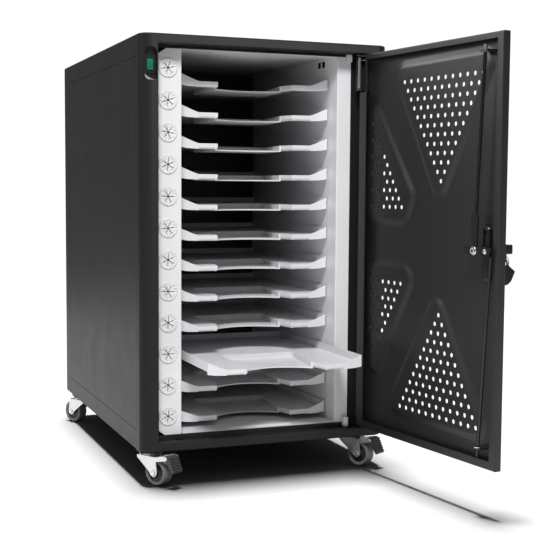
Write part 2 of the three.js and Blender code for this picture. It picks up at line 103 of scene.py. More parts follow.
def prism(axis, pts, a, b):
    """The outline is (x, y) along z, (x, z) along y and (y, z) along x."""
    place = {"z": lambda p, c: (p[0], p[1], c), "y": lambda p, c: (p[0], c, p[1]), "x": lambda p, c: (c, p[0], p[1])}[axis]
    bm = bmesh.new()
    lo = [bm.verts.new(place(p, a)) for p in pts]
    hi = [bm.verts.new(place(p, b)) for p in pts]
    bm.faces.new(lo)
    bm.faces.new(hi)
    for i in range(len(pts)):
        j = (i + 1) % len(pts)
        bm.faces.new((lo[i], lo[j], hi[j], hi[i]))
    return from_bm(bm)


def box(x0, x1, y0, y1, z0, z1, r=0.0, n=2):
    bm = bmesh.new()
    bmesh.ops.create_cube(bm, size=1.0)
    for v in bm.verts:
        v.co = ((x0 + x1) / 2 + v.co.x * (x1 - x0), (y0 + y1) / 2 + v.co.y * (y1 - y0), (z0 + z1) / 2 + v.co.z * (z1 - z0))
    if r > 0:
        bmesh.ops.bevel(bm, geom=bm.edges[:], offset=r, segments=n, profile=0.5, affect="EDGES", clamp_overlap=True)
    return from_bm(bm)


def lathe(profile, n=32, axis="z", at=(0, 0, 0), closed=False):
    place = {"z": lambda a, b, h: (a, b, h), "y": lambda a, b, h: (a, h, b), "x": lambda a, b, h: (h, a, b)}[axis]
    bm = bmesh.new()
    rings = []
    for r, h in profile:
        if r < 1e-6:
            rings.append([bm.verts.new(Vector(place(0, 0, h)) + Vector(at))])
        else:
            rings.append([bm.verts.new(Vector(place(r * math.cos(2 * math.pi * i / n), r * math.sin(2 * math.pi * i / n), h)) + Vector(at)) for i in range(n)])
    pairs = list(zip(rings, rings[1:]))
    if closed:
        pairs.append((rings[-1], rings[0]))
    for a, b in pairs:
        for i in range(n):
            j = (i + 1) % n
            if len(a) == 1 and len(b) == 1:
                continue
            if len(a) == 1:
                bm.faces.new((a[0], b[i], b[j]))
            elif len(b) == 1:
                bm.faces.new((a[i], a[j], b[0]))
            else:
                bm.faces.new((a[i], a[j], b[j], b[i]))
    return from_bm(bm)


def rod(axis, a, b, r, h0, h1, n=24, edge=0.0):
    at = {"z": (a, b, 0), "y": (a, 0, b), "x": (0, a, b)}[axis]
    e = min(edge, r * 0.8)
    if e > 0:
        prof = [(0, h0), (r - e, h0), (r - 0.3 * e, h0 + 0.3 * e), (r, h0 + e), (r, h1 - e), (r - 0.3 * e, h1 - 0.3 * e), (r - e, h1), (0, h1)]
    else:
        prof = [(0, h0), (r, h0), (r, h1), (0, h1)]
    return lathe(prof, n, axis, at)


def tube(points, r, n=12, smooth=6):
    pts = [Vector(p) for p in points]
    if smooth > 1 and len(pts) > 2:
        out = []
        for i in range(len(pts) - 1):
            p0, p1, p2, p3 = pts[max(i - 1, 0)], pts[i], pts[i + 1], pts[min(i + 2, len(pts) - 1)]
            for k in range(smooth):
                t = k / smooth
                out.append(0.5 * ((2 * p1) + (p2 - p0) * t + (2 * p0 - 5 * p1 + 4 * p2 - p3) * t * t + (3 * p1 - p0 - 3 * p2 + p3) * t ** 3))
        pts = out + [pts[-1]]
    bm = bmesh.new()
    tan = [(pts[min(i + 1, len(pts) - 1)] - pts[max(i - 1, 0)]).normalized() for i in range(len(pts))]
    nor = tan[0].orthogonal().normalized()
    rings = []
    for p, t in zip(pts, tan):
        nor = (nor - t * nor.dot(t)).normalized()
        bi = t.cross(nor)
        rings.append([bm.verts.new(p + (nor * math.cos(2 * math.pi * i / n) + bi * math.sin(2 * math.pi * i / n)) * r) for i in range(n)])
    for a, b in zip(rings, rings[1:]):
        for i in range(n):
            bm.faces.new((a[i], a[(i + 1) % n], b[(i + 1) % n], b[i]))
    bm.faces.new(rings[0])
    bm.faces.new(rings[-1])
    return from_bm(bm)


def apply(ob):
    dg = bpy.context.evaluated_depsgraph_get()
    me = bpy.data.meshes.new_from_object(ob.evaluated_get(dg), preserve_all_data_layers=True, depsgraph=dg)
    ob.modifiers.clear()
    old = ob.data
    ob.data = me
    bpy.data.meshes.remove(old)
    return ob


def boolean(a, b, op):
    m = a.modifiers.new("b", "BOOLEAN")
    m.operation, m.object, m.solver = op, b, "MANIFOLD"
    before = len(a.data.vertices)
    apply(a)
    if len(a.data.vertices) == 0 and before:
        print("EMPTY after", op)
    remove(b)
    return a


def add(a, *bs):
    for b in bs:
        boolean(a, b, "UNION")
    return a


def sub(a, *bs):
    for b in bs:
        boolean(a, b, "DIFFERENCE")
    return a


def both(a, b):
    return boolean(a, b, "INTERSECT")


def merge(obs):
    """Several closed solids that don't touch, as one mesh."""
    bm = bmesh.new()
    for o in obs:
        bm.from_mesh(o.data)
        remove(o)
    return from_bm(bm)


def round_edges(ob, r, n, test, angle=0.5):
    bm = bmesh.new()
    bm.from_mesh(ob.data)
    es = [e for e in bm.edges if len(e.link_faces) == 2 and e.calc_face_angle(0) > angle and test(e.verts[0].co) and test(e.verts[1].co)]
    bmesh.ops.bevel(bm, geom=es, offset=r, segments=n, profile=0.5, affect="EDGES", clamp_overlap=True)
    bm.to_mesh(ob.data)
    bm.free()
    return ob


def arc(x, y, r, a0, a1, n):
    return [(x + r * math.cos(math.radians(a0 + (a1 - a0) * i / n)), y + r * math.sin(math.radians(a0 + (a1 - a0) * i / n))) for i in range(n + 1)]


def area(pts):
    return sum(pts[i - 1][0] * pts[i][1] - pts[i][0] * pts[i - 1][1] for i in range(len(pts))) / 2


def ccw(pts):
    return list(pts) if area(pts) > 0 else list(reversed(pts))


def fillet(pts, r, n=5):
    out = []
    for i, q in enumerate(pts):
        rr = r[i] if isinstance(r, (list, tuple)) else r
        p, a, c = Vector(q), Vector(pts[i - 1]), Vector(pts[(i + 1) % len(pts)])
        if rr <= 0:
            out.append(tuple(p))
            continue
        u, v = a - p, c - p
        lu, lv = u.length, v.length
        u.normalize()
        v.normalize()
        ang = u.angle(v)
        d = min(rr / math.tan(ang / 2), 0.49 * lu, 0.49 * lv)
        rr = d * math.tan(ang / 2)
        cen = p + (u + v).normalized() * (rr / math.sin(ang / 2))
        s, e = p + u * d - cen, p + v * d - cen
        a0 = math.atan2(s.y, s.x)
        da = (math.atan2(e.y, e.x) - a0 + math.pi) % (2 * math.pi) - math.pi
        out += [(cen.x + rr * math.cos(a0 + da * k / n), cen.y + rr * math.sin(a0 + da * k / n)) for k in range(n + 1)]
    return out


def offset(pts, d):
    """A ccw outline moved outwards by d with mitred corners."""
    out = []
    for i, q in enumerate(pts):
        p, a, c = Vector(q), Vector(pts[i - 1]), Vector(pts[(i + 1) % len(pts)])
        u, v = (p - a).normalized(), (c - p).normalized()
        nu, nv = Vector((u.y, -u.x)), Vector((v.y, -v.x))
        out.append(tuple(p + (nu + nv) * (d / (1 + nu.dot(nv)))))
    return out


def round_offset(pts, d, n=6):
    """A convex ccw outline moved outwards by d with round corners; the same number of points for every d."""
    out = []
    for i, q in enumerate(pts):
        p, a, c = Vector(q), Vector(pts[i - 1]), Vector(pts[(i + 1) % len(pts)])
        u, v = (p - a).normalized(), (c - p).normalized()
        a0 = math.atan2(-u.x, u.y)
        da = (math.atan2(-v.x, v.y) - a0 + math.pi) % (2 * math.pi) - math.pi
        out += [(p.x + d * math.cos(a0 + da * k / n), p.y + d * math.sin(a0 + da * k / n)) for k in range(n + 1)]
    return out


def strip(path, t):
    """A folded sheet's section: the path is one face, the sheet lies t to its left, or to its right if t is negative."""
    p = [Vector(q) for q in path]
    far = []
    for i, q in enumerate(p):
        u = (q - p[i - 1]).normalized() if i else (p[1] - q).normalized()
        v = (p[i + 1] - q).normalized() if i < len(p) - 1 else u
        nu, nv = Vector((-u.y, u.x)), Vector((-v.y, v.x))
        far.append(tuple(q + (nu + nv) * (t / (1 + nu.dot(nv)))))
    return [tuple(q) for q in p] + far[::-1]


def rings(levels, axis="y"):
    """A closed solid through outlines at rising heights: [(height, points), ...]."""
    place = {"z": lambda p, c: (p[0], p[1], c), "y": lambda p, c: (p[0], c, p[1])}[axis]
    bm = bmesh.new()
    loops = [[bm.verts.new(place(p, h)) for p in pts] for h, pts in levels]
    for a, b in zip(loops, loops[1:]):
        for i in range(len(a)):
            j = (i + 1) % len(a)
            bm.faces.new((a[i], a[j], b[j], b[i]))
    bm.faces.new(loops[0])
    bm.faces.new(loops[-1])
    return from_bm(bm)


def ease(t):
    return t * t * (3 - 2 * t)


def piece(ob, name, body, material, matrix=CASE, replaces=(), bevel=0.0, segments=2, smooth=38):
    """Finishes a solid: edge rounding, shading, place, finish and the body that it rides on."""
    if bevel > 0:
        m = ob.modifiers.new("bevel", "BEVEL")
        m.width, m.segments, m.limit_method, m.angle_limit = bevel, segments, "ANGLE", math.radians(40)
        m.use_clamp_overlap = True
    w = ob.modifiers.new("wn", "WEIGHTED_NORMAL")
    w.keep_sharp = True
    for p in ob.data.polygons:
        p.use_smooth = True
    ob.data.set_sharp_from_angle(angle=math.radians(smooth if bevel <= 0 else 181 if bevel > 0 and segments > 1 else smooth))
    apply(ob)
    ob.data.transform(matrix)
    ob.data.update()
    ob.name = name
    ob.data.name = name
    ob.data.materials.clear()
    ob.data.materials.append(material)
    for p in ob.data.polygons:
        p.material_index = 0
    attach(ob, body)
    if replaces:
        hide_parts(*replaces)
    return ob


# ---------------------------------------------------------------- materials
def shade(name, color, rough, metal=0.0, vary=0.06, rough_vary=0.05, broad=6.0, grain=0.0, grain_size=0.7, spec=0.5, coat=0.0,
          speckle=None, streak=None, glow=None, wear=0.0):
    m = bpy.data.materials.new(name)
    m.use_nodes = True
    nt = m.node_tree
    b = nt.nodes["Principled BSDF"]
    b.inputs["Metallic"].default_value = metal
    b.inputs["Specular IOR Level"].default_value = spec
    if coat:
        b.inputs["Coat Weight"].default_value = coat
        b.inputs["Coat Roughness"].default_value = 0.12
    tc = nt.nodes.new("ShaderNodeTexCoord")

    def noise(scale, detail=3.0, src=None):
        n = nt.nodes.new("ShaderNodeTexNoise")
        n.inputs["Scale"].default_value = scale
        n.inputs["Detail"].default_value = detail
        nt.links.new(src or tc.outputs["Object"], n.inputs["Vector"])
        return n.outputs["Fac"]

    def ramp(fac, stops):
        r = nt.nodes.new("ShaderNodeValToRGB")
        e = r.color_ramp.elements
        e[0].position, e[0].color = stops[0][0], (*stops[0][1], 1)
        e[1].position, e[1].color = stops[-1][0], (*stops[-1][1], 1)
        for p, c in stops[1:-1]:
            k = e.new(p)
            k.color = (*c, 1)
        nt.links.new(fac, r.inputs["Fac"])
        return r.outputs["Color"]

    def remap(fac, lo, hi):
        r = nt.nodes.new("ShaderNodeMapRange")
        r.inputs["From Min"].default_value, r.inputs["From Max"].default_value = 0.3, 0.7
        r.inputs["To Min"].default_value, r.inputs["To Max"].default_value = lo, hi
        nt.links.new(fac, r.inputs["Value"])
        return r.outputs["Result"]

    def mix(kind, fac, a, c):
        x = nt.nodes.new("ShaderNodeMix")
        x.data_type, x.blend_type = "RGBA", kind
        x.inputs[0].default_value = fac
        nt.links.new(a, x.inputs[6])
        nt.links.new(c, x.inputs[7])
        return x.outputs[2]

    lo = tuple(c * (1 - vary) for c in color)
    hi = tuple(min(1.0, c * (1 + vary)) for c in color)
    out = ramp(noise(broad, 4.0), [(0.35, lo), (0.65, hi)])
    if grain > 0:
        out = mix("MULTIPLY", min(1.0, grain), out, ramp(noise(1000.0 / grain_size, 2.0), [(0.35, (0.72,) * 3), (0.65, (1.0,) * 3)]))
    if speckle:
        out = ramp(noise(1000.0 / speckle[0], 2.0), [(0.40, speckle[1]), (0.47, color), (0.56, color), (0.64, speckle[2])])
    if streak:
        mp = nt.nodes.new("ShaderNodeMapping")
        mp.inputs["Scale"].default_value = streak
        nt.links.new(tc.outputs["Object"], mp.inputs["Vector"])
        out = mix("MULTIPLY", 0.6, out, ramp(noise(60.0, 4.0, mp.outputs["Vector"]), [(0.3, (0.7,) * 3), (0.7, (1.0,) * 3)]))
    if wear > 0:
        g = nt.nodes.new("ShaderNodeNewGeometry")
        edge = ramp(g.outputs["Pointiness"], [(0.50, (0.0,) * 3), (0.56, (1.0,) * 3)])
        x = nt.nodes.new("ShaderNodeMix")
        x.data_type = "RGBA"
        x.inputs[7].default_value = (*[min(1.0, c * (1 + wear) + 0.02) for c in color], 1)
        nt.links.new(edge, x.inputs[0])
        nt.links.new(out, x.inputs[6])
        out = x.outputs[2]
    nt.links.new(out, b.inputs["Base Color"])
    nt.links.new(remap(noise(broad * 5, 5.0), max(0.02, rough - rough_vary), min(1.0, rough + rough_vary)), b.inputs["Roughness"])
    if grain > 0:
        bump = nt.nodes.new("ShaderNodeBump")
        bump.inputs["Strength"].default_value = min(1.0, grain)
        bump.inputs["Distance"].default_value = 0.00012
        nt.links.new(noise(1000.0 / grain_size, 2.0), bump.inputs["Height"])
        nt.links.new(bump.outputs["Normal"], b.inputs["Normal"])
    if glow:
        b.inputs["Emission Color"].default_value = (*glow[0], 1)
        b.inputs["Emission Strength"].default_value = glow[1]
    return m


CASE_PAINT = shade("case_paint", (0.0120, 0.0116, 0.0120), 0.42, vary=0.05, rough_vary=0.02, broad=3.0, grain=0.30, grain_size=0.9, spec=0.17)
DOOR_PAINT = shade("door_paint", (0.0115, 0.0118, 0.0125), 0.40, vary=0.05, rough_vary=0.02, broad=3.0, grain=0.30, grain_size=0.9)
WHITE = shade("white_paint", (0.78, 0.785, 0.80), 0.38, vary=0.02, grain=0.10, grain_size=0.8)
TRAY = shade("tray_paint", (0.76, 0.765, 0.78), 0.34, vary=0.02, grain=0.10, grain_size=0.8)
RUBBER = shade("grommet_rubber", (0.80, 0.80, 0.79), 0.75, speckle=(1.5, (0.42, 0.42, 0.42), (0.90, 0.90, 0.89)), spec=0.3)
BLACK = shade("black_plastic", (0.011, 0.011, 0.012), 0.38, vary=0.15, grain=0.2, grain_size=0.5)
PEDAL = shade("pedal_plastic", (0.055, 0.052, 0.052), 0.5, vary=0.1, grain=0.3, grain_size=0.6)
GREEN = shade("rocker_green", (0.002, 0.13, 0.06), 0.14, vary=0.3, broad=90.0, coat=0.8, glow=((0.0, 0.30, 0.13), 0.10))
LOCK = shade("lock_black", (0.006, 0.006, 0.0065), 0.24, vary=0.1, grain=0.1)
CHROME = shade("chrome", (0.82, 0.83, 0.84), 0.10, metal=1.0, vary=0.03)
ZINC = shade("zinc", (0.74, 0.75, 0.76), 0.24, metal=0.85, vary=0.03, rough_vary=0.03, broad=30.0)
TYRE = shade("wheel_grey", (0.15, 0.145, 0.14), 0.62, vary=0.08, broad=25.0, grain=0.25, grain_size=0.8)
HUB = shade("hub_black", (0.016, 0.016, 0.017), 0.35, vary=0.12, grain=0.15, grain_size=0.6)
CABLE = shade("cable_sheath", (0.014, 0.014, 0.015), 0.5, vary=0.1, grain=0.2, grain_size=0.6)
CUP = shade("recess_black", (0.012, 0.012, 0.0125), 0.35, vary=0.08, grain=0.15)
# painted highlight: this light grey stands in for the bright reflection of the top light on the recess floor
SCOOP_PAINTED_HIGHLIGHT = shade("recess_scoop_painted_highlight", (0.34, 0.335, 0.34), 0.22, vary=0.05, grain=0.08, coat=0.5)

# ---------------------------------------------------------------- case
outer = lambda i=0.0, n=14: (arc(R, R, R - i, 180, 270, n) + arc(W - R, R, R - i, 270, 360, n)
                             + arc(W - 3, D - 3, 3 - i, 0, 90, 5) + arc(3, D - 3, 3 - i, 90, 180, 5))


def tub(z0, z1, y0, y1, top=False, bottom=False):
    o = prism("z", outer(), z0, z1)
    if top:
        round_edges(o, 2.4, 3, lambda c: c.z > z1 - 0.01)
    if bottom:
        round_edges(o, 2.4, 3, lambda c: c.z < z0 + 0.01)
    o = sub(o, prism("z", outer(T), z0 + (T if bottom else -2), z1 - (T if top else -2)))
    return both(o, box(-5, W + 5, y0, y1, z0 - 5, z1 + 5))


RECESS = arc(16.5, 667, 8, 180, 270, 8) + arc(26.5, 662, 3, 270, 360, 5) + [(29.5, 706)] + arc(19, 706, 10.5, 12, 168, 14) + [(8.5, 706)]

f = tub(0, H, -3, 34, True, True)
f = sub(f, box(30.2, W - 30.2, -5, 12, 15, 725))
f = add(f,
        prism("z", strip([(27, 0)] + arc(30.2, 2, 2, 270, 360, 5) + [(32.2, 30)], T), 15, 725),
        prism("z", strip([(W - 27, 0)] + arc(W - 30.2, 2, 2, 270, 180, 5) + [(W - 32.2, 28.5), (415.5, 28.5)], -T), 15, 725),
        prism("x", strip([(0, 729)] + arc(2, 725, 2, 180, 270, 5) + [(28.5, 723), (28.5, 718.3)], T), 30.2, W - 30.2),
        prism("x", strip([(0, 11)] + arc(2, 15, 2, 180, 90, 5) + [(28.5, 17), (28.5, 24.2)], -T), 30.2, W - 30.2))
f = sub(f, prism("y", RECESS, -3, 10), rod("z", 24, 31, 4.3, -2, 4, 20), rod("z", 435, 5, 3.3, 715, 728, 16), rod("z", 435, 5, 3.3, 12, 20, 16),
        box(64, 80, 13, 25, 722, 726), box(67, 83, 13, 25, 14, 18))
piece(f, "front_frame_folded", "cabinet", CASE_PAINT, replaces=["front_frame"], smooth=33)

cup = sub(prism("y", offset(ccw(RECESS), 1.1), 0.4, 11.4), prism("y", RECESS, -2, 10), box(11.2, 26.8, 9, 13, 672, 699))
cup = both(cup, prism("z", outer(0.15), 600, 730))
piece(cup, "switch_recess_cup", "cabinet", CUP)
# the curved floor of the recess, high at the left and falling to the right; its light grey finish is a painted
# highlight standing in for the top light's reflection on this slope
bm = bmesh.new()
cols = []
for i in range(13):
    x = 8.7 + 20.6 * i / 12
    q = i / 12
    top = 660.6 + 11.0 * (1 - q) ** 2.3
    line = [(x, 9.7 - 9.0 * t, 659.3 + (top - 659.3) * math.cos(t * math.pi / 2) ** 0.8 if t < 1 else 659.3) for t in [k / 8 for k in range(9)]]
    cols.append([bm.verts.new(v) for v in line] + [bm.verts.new((x, 9.7, 659.3))])
for a, b in zip(cols, cols[1:]):
    for k in range(len(a)):
        j = (k + 1) % len(a)
        bm.faces.new((a[k], a[j], b[j], b[k]))
bm.faces.new(cols[0])
bm.faces.new(cols[-1])
scoop = both(both(from_bm(bm), prism("z", outer(0.6), 600, 730)), prism("y", offset(ccw(RECESS), -0.05), -2, 12))
piece(scoop, "switch_recess_scoop", "cabinet", SCOOP_PAINTED_HIGHLIGHT, smooth=50)

c = tub(702.3, H, 34.3, D + 5, True, False)
piece(c, "top_cover_folded", "cabinet", CASE_PAINT, replaces=["top_cover"], bevel=0.55)

c = tub(0, 36, 34.3, D + 5, False, True)
for x, y, _ in CASTERS.values():
    pad = fillet([(x - 22, y - 22), (x + 22, y - 22), (x + 22, y + 22), (x - 22, y + 22)], 5, 4)
    c = add(c, both(prism("z", pad, -2, 0.6), box(0.6, W - 0.6, 34.8, D, -3, 1)), both(prism("z", pad, -2, -0.3), box(0.6, W - 0.6, -50, D, -3, 1)))
for x, y, _ in CASTERS.values():
    c = sub(c, rod("z", x, y, 4.3, -4, 3, 20))
piece(c, "base_pan_folded", "cabinet", CASE_PAINT, replaces=["base_pan"], smooth=33)

for name, left in (("left_side_panel", True), ("right_side_panel", False)):
    y0, y1 = 34.9, D - 50 - 0.9

    def side(a, b, *rest, **kw):
        return box(a, b, *rest, **kw) if left else box(W - b, W - a, *rest, **kw)
    o = add(side(0, T, y0, y1, 36.9, 701.4), side(1.2, 3.3, y0 + 12, y1 - 12, 38, 50), side(1.8, 3.3, y0 + 12, y1 - 12, 24, 42),
            side(1.2, 3.3, y0 + 12, y1 - 12, 688, 700), side(1.8, 3.3, y0 + 12, y1 - 12, 696, 714))
    piece(o, name + "_sheet", "cabinet", CASE_PAINT, replaces=[name], bevel=0.6)

c = tub(36.3, 702, D - 50, D + 5)
INLET = fillet([(45.7, 108.7), (74.3, 108.7), (74.3, 131.3), (45.7, 131.3)], 2, 4)
c = sub(c, prism("y", INLET, D - 4, D + 4))
heads = []
for x in (34, W / 2, W - 34):
    for z in (52, 369, 686):
        c = sub(c, lathe([(0, D - 1.0), (1.8, D - 1.0), (4.2, D + 0.3), (0, D + 0.3)], 20, "y", (x, 0, z)))
        s = lathe([(0, D - 1.3), (1.7, D - 1.3), (3.7, D - 0.25), (0, D - 0.05)], 20, "y", (x, 0, z))
        s = sub(s, box(x - 2.2, x + 2.2, D - 0.7, D + 1, z - 0.4, z + 0.4), box(x - 0.4, x + 0.4, D - 0.7, D + 1, z - 2.2, z + 2.2))
        heads.append(s)
piece(c, "rear_panel_sheet", "cabinet", CASE_PAINT, replaces=["rear_panel"], smooth=33)
piece(merge(heads), "rear_panel_screws", "cabinet", ZINC)

# ---------------------------------------------------------------- inside of the case
PITCH, FIRST = 56.85, 58.7
gz = lambda k: FIRST + PITCH * (12 - k)
tz = lambda k: 46 + 56.4 * (12 - k)
o = prism("y", fillet([(51, 24.5), (82, 24.5), (82, 718), (54, 718), (32.5, 703), (32.5, 38)], [3, 0, 0, 3, 3, 3], 4), 30.3, 31.8)
o = sub(o, merge([rod("y", 57.3, gz(k), 15.2, 28, 35, 32) for k in range(1, 13)]))
o = add(o, prism("z", strip([(78.5, 30.3)] + arc(80, 32.3, 2, 270, 360, 4) + [(82, 50)], T), 24.5, 718))
piece(o, "cable_panel_sheet", "cabinet", WHITE, replaces=["cable_panel"], smooth=33)

g = lathe([(0, 29.0), (13.6, 29.0), (14.6, 28.5), (15.4, 28.22), (16.5, 28.4), (17.1, 29.0), (17.3, 30.0), (15.0, 30.0), (15.0, 32.0), (14.4, 33.3), (13.0, 33.3), (12.4, 31.4), (0, 31.2)], 48, "y")
petal = []
for i in range(6):
    q = box(0, 11.8, 27, 35, -0.65, 0.65)
    q.data.transform(Matrix.Rotation(math.radians(60 * i), 4, "Y"))
    petal.append(q)
g = sub(g, *petal, rod("y", 0, 0, 1.9, 27, 35, 12))
piece(g, "grommet_shape", "cabinet", RUBBER, matrix=Matrix.Scale(0.001, 4), smooth=30)
gmesh = g.data
bpy.data.objects.remove(g)
for k in range(1, 13):
    ob = link(gmesh, f"grommet_{k:02d}_moulded")
    ob.matrix_world = CASE @ Matrix.Translation((57.3, 0, gz(k))) @ Matrix.Scale(1000.0, 4) @ Matrix.Rotation(math.radians(random.uniform(-28, 28)), 4, "Y")
    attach(ob, "cabinet")
    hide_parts(f"grommet_{k:02d}")

# right wall, white front return, bay floor and ceiling, ledges and buffers
ARCH = fillet([(171, 33), (302, 33), (286, 60), (262, 84), (237, 92), (211, 84), (187, 60)], [0, 0, 30, 25, 30, 25, 30], 4)
l = add(box(387, 388.5, 34, 490, 24.5, 722.5),
        prism("z", strip([(387, 40), (387, 32.3)] + arc(389, 32.3, 2, 180, 270, 4) + arc(413.2, 32.3, 2, 270, 360, 4) + [(415.2, 44)], T), 24.5, 722.5),
        box(84.4, 388, 31, 490, 24.5, 26), box(84.4, 388, 31, 490, 721, 722.5))
l = sub(l, box(380, 395, 90, 106, 704, 716), box(380, 395, 110, 126, 704, 716))
l = add(l, rings([(25, round_offset(ccw([(178, 40), (296, 40), (262, 76), (237, 84), (211, 76)]), 8))]
                 + [(26 + 2.6 * ease(t / 4), round_offset(ccw([(178, 40), (296, 40), (262, 76), (237, 84), (211, 76)]), 8 - 6.5 * t / 4)) for t in range(5)], "z"))
l = add(l, *[box(380.5, 387.5, 112, 460, tz(k) - 5.3, tz(k) - 2.3) for k in range(1, 13)])
piece(l, "bay_liner_sheet", "cabinet", WHITE, replaces=["bay_liner"], smooth=33)
b = merge([box(402, 411, 17, 28.2, 708, 722.2, 1.0), box(402, 411, 17, 28.2, 18, 36, 1.0)])
piece(b, "door_buffers", "cabinet", WHITE)

for n in ("left_divider",):
    NODES[n].data.materials.clear()
    NODES[n].data.materials.append(WHITE)
# painted shade: the bay's back sheet takes the dark door paint, which stands in for the deep shade at the back of the
# bay
NODES["bay_back_panel"].data.materials.clear()
NODES["bay_back_panel"].data.materials.append(DOOR_PAINT)
NODES["power_strip"].data.materials.clear()
NODES["power_strip"].data.materials.append(BLACK)

o = sub(add(box(46, 74, 655, 687.4, 109, 131, 1.2), prism("y", fillet([(41, 104), (79, 104), (79, 136), (41, 136)], 3, 4), 686.3, 689)),
        prism("y", fillet([(48.5, 112), (71.5, 112), (71.5, 124), (68, 128), (52, 128), (48.5, 124)], 0.8, 3), 672, 690))
piece(o, "mains_inlet_housing", "cabinet", BLACK, replaces=["mains_inlet"], smooth=33)
o = merge([box(59.0, 61.0, 671, 684, 120.5, 125.5, 0.3), box(52.5, 54.5, 671, 684, 115, 120, 0.3), box(65.5, 67.5, 671, 684, 115, 120, 0.3)])
piece(o, "mains_inlet_pins", "cabinet", ZINC)
o = merge([tube([(60, 654.6, 120), (60, 620, 120), (54, 560, 92), (38, 480, 44), (30, 330, 42), (24, 130, 44), (19, 62, 90), (18, 50, 240), (18, 48, 480), (18, 47, 640), (19, 44, 672), (19, 37, 685), (19, 29.8, 686)], 3.5, 12, 5),
           tube([(18, 47, 628), (19, 58, 668), (24, 110, 706), (34, 260, 712), (44, 400, 714), (47, 448, 714), (47, 460, 708), (47, 461, 701.2)], 3.2, 12, 5)])
piece(o, "mains_cable_run", "cabinet", CABLE, replaces=["mains_cable"], smooth=50)

# power switch: bezel with its body, and the lit rocker
o = add(box(11.5, 26.5, 9.4, 28, 672.3, 698.7), prism("y", fillet([(9.4, 670), (28.6, 670), (28.6, 701), (9.4, 701)], 2.2, 4), 8.2, 9.7),
        prism("y", fillet([(10.2, 670.8), (27.8, 670.8), (27.8, 700.2), (10.2, 700.2)], 1.8, 4), 7.2, 8.4))
o = sub(o, box(13.2, 24.8, 5, 17, 675, 696))
piece(o, "switch_bezel_frame", "cabinet", BLACK, replaces=["switch_bezel"], bevel=0.3)
tilt = math.radians(-6)
prof = [(-5, -9.6), (-1.5, -9.8), (4, -6.5), (4, 6.5), (-1.5, 9.8), (-5, 9.6), (-4.3, 5), (-4.0, 0), (-4.3, -5)]
prof = [(11 + y * math.cos(tilt) - z * math.sin(tilt), 685.5 + y * math.sin(tilt) + z * math.cos(tilt)) for y, z in prof]
piece(prism("x", prof, 13.6, 24.4), "switch_rocker_lens", "power_rocker", GREEN, replaces=["switch_rocker"], bevel=0.7, segments=3)

# ---------------------------------------------------------------- trays
x0, x1, y0, y1 = 92, 384, 70, 470
mid = [(171 + 131 * i / 18, 106 + 27 * math.sin(math.pi * i / 18) ** 0.85) for i in range(19)]
low = ccw(mid + fillet([(302, 106), (318, 240), (168, 240), (171, 106)], [0, 10, 10, 0], 4)[1:-1])
plan = ccw([(x0, y0), (164, y0)] + mid + [(312, y0), (x1, y0), (x1, y1), (x0, y1)])
t = sub(prism("z", plan, -2, 0), prism("z", low, -3, 1))
wall = sub(prism("z", offset(low, 1.1), -11.5, 0), prism("z", offset(low, -1.1), -12.5, 1), box(172.5, 300.5, 60, 141, -9.5, 1))
t = add(t, prism("z", offset(low, 0.2), -11.5, -9.5), wall)


LIP = [(0, 0), (0, -5.6)] + arc(4.4, -5.6, 4.4, 180, 270, 7)[1:] + [(5.4, -10), (5.4, -8.2)] + arc(4.4, -5.6, 2.6, 270, 180, 7) + [(1.8, 0)]


def lip(a, b):
    """The edge of the sheet between two points, folded down and rolled in."""
    u = (Vector(b) - Vector(a)).normalized()
    o = prism("x", LIP, 0, (Vector(b) - Vector(a)).length)
    o.data.transform(Matrix(((u.x, -u.y, 0, a[0]), (u.y, u.x, 0, a[1]), (0, 0, 1, 0), (0, 0, 0, 1))))
    return o


t = add(t, lip((x0 + 34, y0), (164, y0)), lip((164, y0), (171, 106)), lip((302, 106), (312, y0)), lip((312, y0), (x1 - 34, y0)))
sweep = [(349, -10), (370, -9.2), (x1, -7), (x1, 14), (378, 11.2), (362, 4.6), (349, 0)]
for m in (0, 1):
    t = add(t, prism("y", ccw([(x0 + x1 - a, b) if m else (a, b) for a, b in sweep]), y0, y0 + 2))
t = add(t, box(x0, x0 + T, y0, y1, -2, 14), box(x1 - T, x1, y0, y1, -2, 14), box(x0, x1, y1 - T, y1, -2, 10))
piece(t, "tray_shape", "cabinet", TRAY, matrix=Matrix.Scale(0.001, 4), smooth=33)
tmesh = t.data
bpy.data.objects.remove(t)
for k in range(1, 13):
    ob = link(tmesh, f"tray_{k:02d}_sheet")
    ob.matrix_world = CASE @ Matrix.Translation((0, -165 if k == 10 else 0, tz(k))) @ Matrix.Scale(1000.0, 4)
    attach(ob, f"tray_body_{k:02d}")
    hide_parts(f"tray_{k:02d}")

# ---------------------------------------------------------------- door, drawn closed
dx0, dx1, dz0, dz1, dt = 34.2, 444, 19.3, 721.5, 15
P = lambda u, z: (dx1 - u, z)
FIELDS = [[(106, 685), (372, 689), (236, 459.5)], [(233, 285), (99, 73), (367, 70)],
          [(24.7, 640), (154.7, 462), (134.7, 419), (14.7, 423)], [(20.7, 325), (134.2, 329), (156.2, 314), (35.7, 109)]]
HOLES = [[], [], [], []]
for n, (z_first, z_last) in enumerate(((662, 486.4), (79.3, 256.5))):
    for r in range(12):
        z = z_first + (z_last - z_first) * r / 11
        HOLES[n] += [(241.1 + (i - (11 - r) / 2) * 19.7 + r * 1.9 / 11, z) for i in range(12 - r)]
for n, (z, dz) in ((2, (440, 15.2)), (3, (302, -15.2))):
    for r, count in enumerate((6, 5, 5, 4, 4, 3, 3, 2, 2, 1, 1)):
        HOLES[n] += [(34.9 + i * 18.8 + (r % 2) * 9.4, z + dz * r) for i in range(count)]

